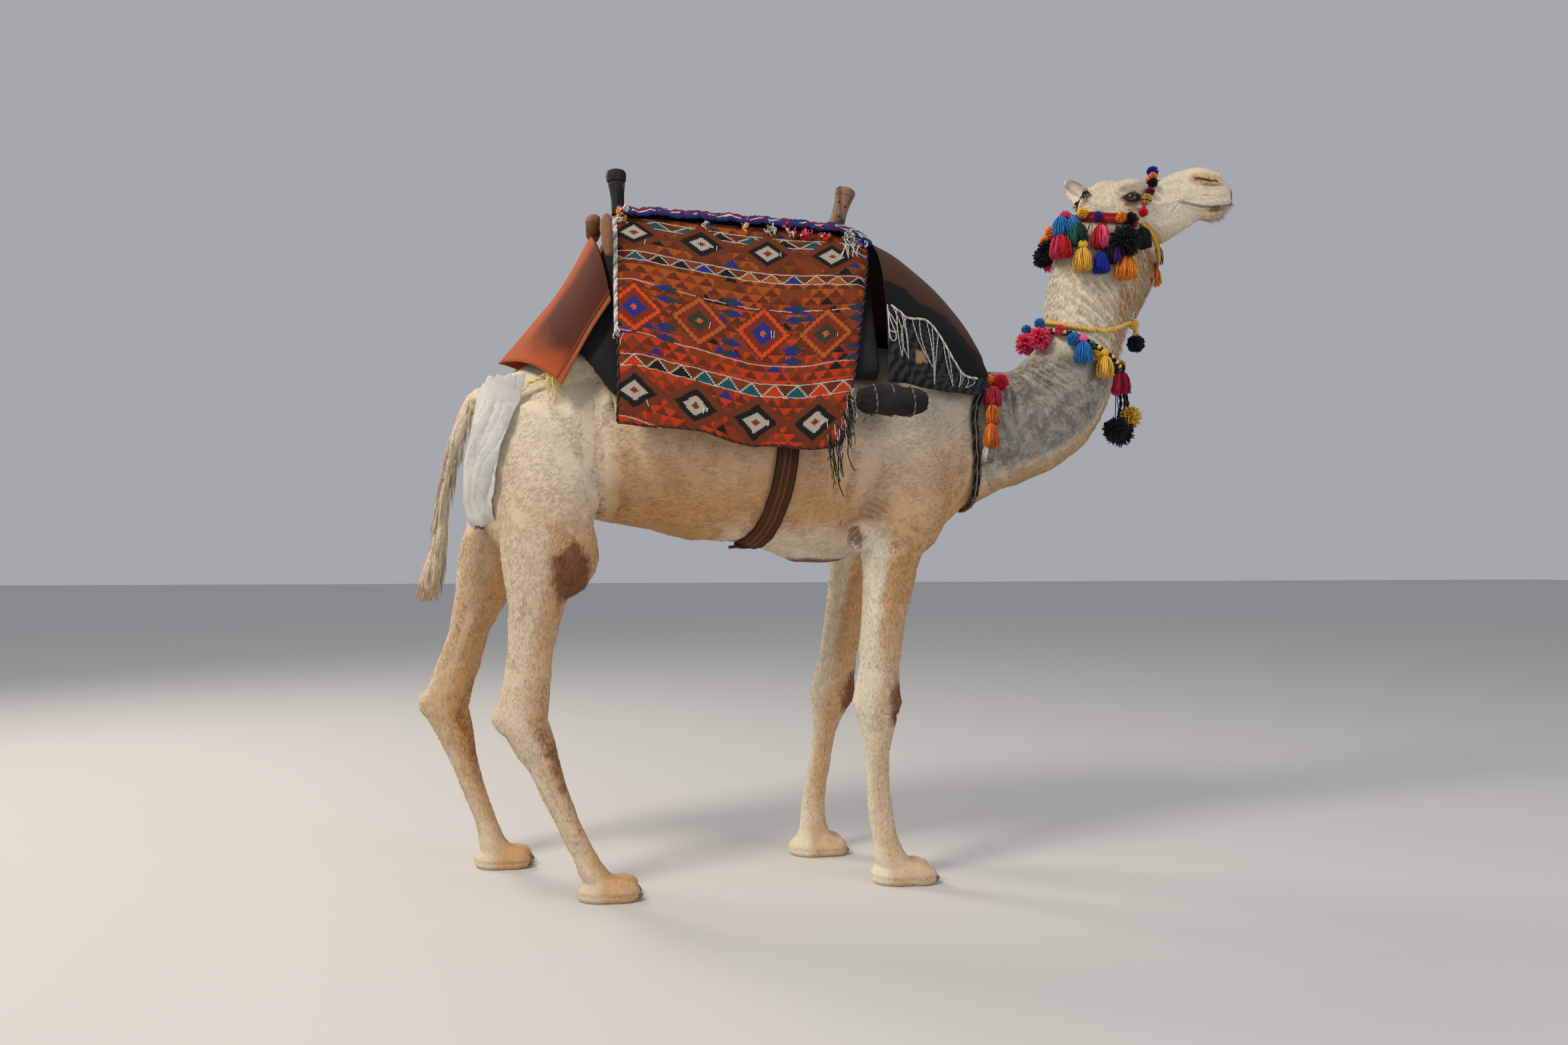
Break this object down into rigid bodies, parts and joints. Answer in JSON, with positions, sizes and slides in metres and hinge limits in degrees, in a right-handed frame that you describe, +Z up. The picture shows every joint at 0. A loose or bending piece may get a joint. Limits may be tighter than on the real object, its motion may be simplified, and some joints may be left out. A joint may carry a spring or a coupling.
{
  "type": "dromedary camel in riding tack",
  "caption": "Life-size standing dromedary camel, a still museum-style model, wearing a saddle with a patterned kilim, halter, collar and tassels.",
  "frame": {"origin": "centre of the bounding box on the floor plane", "axes": "+X towards the head, the longest extent; +Y to the animal's left, the shortest extent; +Z up"},
  "size_m": [2.6508, 0.7834, 2.3077],
  "materials": {
    "coat": "short flat hair, cream to tan",
    "eye": "wet dark glossy",
    "nail": "worn horn",
    "wood": "worn, oiled by hands",
    "dark_wood": "dark painted, worn",
    "kilim": "flat woven wool",
    "blanket": "woven wool, striped",
    "black_wool": "coarse dark wool",
    "tan_leather": "smooth vegetable-tanned",
    "pale_leather": "smooth pale hide",
    "dark_leather": "dark worn webbing and hide",
    "white_cloth": "thin woven white sacking",
    "yellow_rope": "twisted cord",
    "ochre_strap": "woven tape",
    "red_strap": "woven tape",
    "mixed_wool": "soft wool pompoms in many colours",
    "grey_rope": "thin twisted cord"
  },
  "bodies": {
    "root": {"head": "coat", "neck": "coat", "trunk": "coat", "tail": "coat", "leg_fore_right": "coat", "leg_fore_left": "coat", "leg_hind_right": "coat", "leg_hind_left": "coat", "ear_right": "coat", "ear_left": "coat", "eye_right": "eye", "eye_left": "eye", "nail_fore_right_right": "nail", "nail_fore_right_left": "nail", "nail_fore_left_right": "nail", "nail_fore_left_left": "nail", "nail_hind_right_right": "nail", "nail_hind_right_left": "nail", "nail_hind_left_right": "nail", "nail_hind_left_left": "nail", "saddle_kilim": "kilim", "saddle_pad": "black_wool", "saddle_seat_blanket": "blanket", "saddle_horn_rear": "dark_wood", "saddle_horn_front": "wood", "saddle_skirt": "tan_leather", "saddle_front_blanket": "black_wool", "saddle_roll_rear": "pale_leather", "saddle_roll_right": "pale_leather", "saddle_roll_left": "pale_leather", "saddle_bundle_right": "black_wool", "saddle_bundle_left": "black_wool", "girth_strap": "dark_leather", "girth_knot": "dark_leather", "breast_strap": "black_wool", "rump_bag": "white_cloth", "crupper_cord_right": "yellow_rope", "crupper_cord_left": "yellow_rope", "halter_noseband": "mixed_wool", "halter_headband": "red_strap", "halter_throat_strap": "ochre_strap", "halter_garland_right": "mixed_wool", "halter_garland_left": "mixed_wool", "halter_tie": "grey_rope", "collar_rope": "yellow_rope", "collar_braid": "black_wool", "collar_rope_tassel": "mixed_wool", "collar_front_tassel": "mixed_wool", "collar_tassels_right": "mixed_wool", "collar_tassels_left": "mixed_wool", "withers_tassel_right": "mixed_wool", "withers_tassel_left": "mixed_wool"}
  },
  "joints": []
}
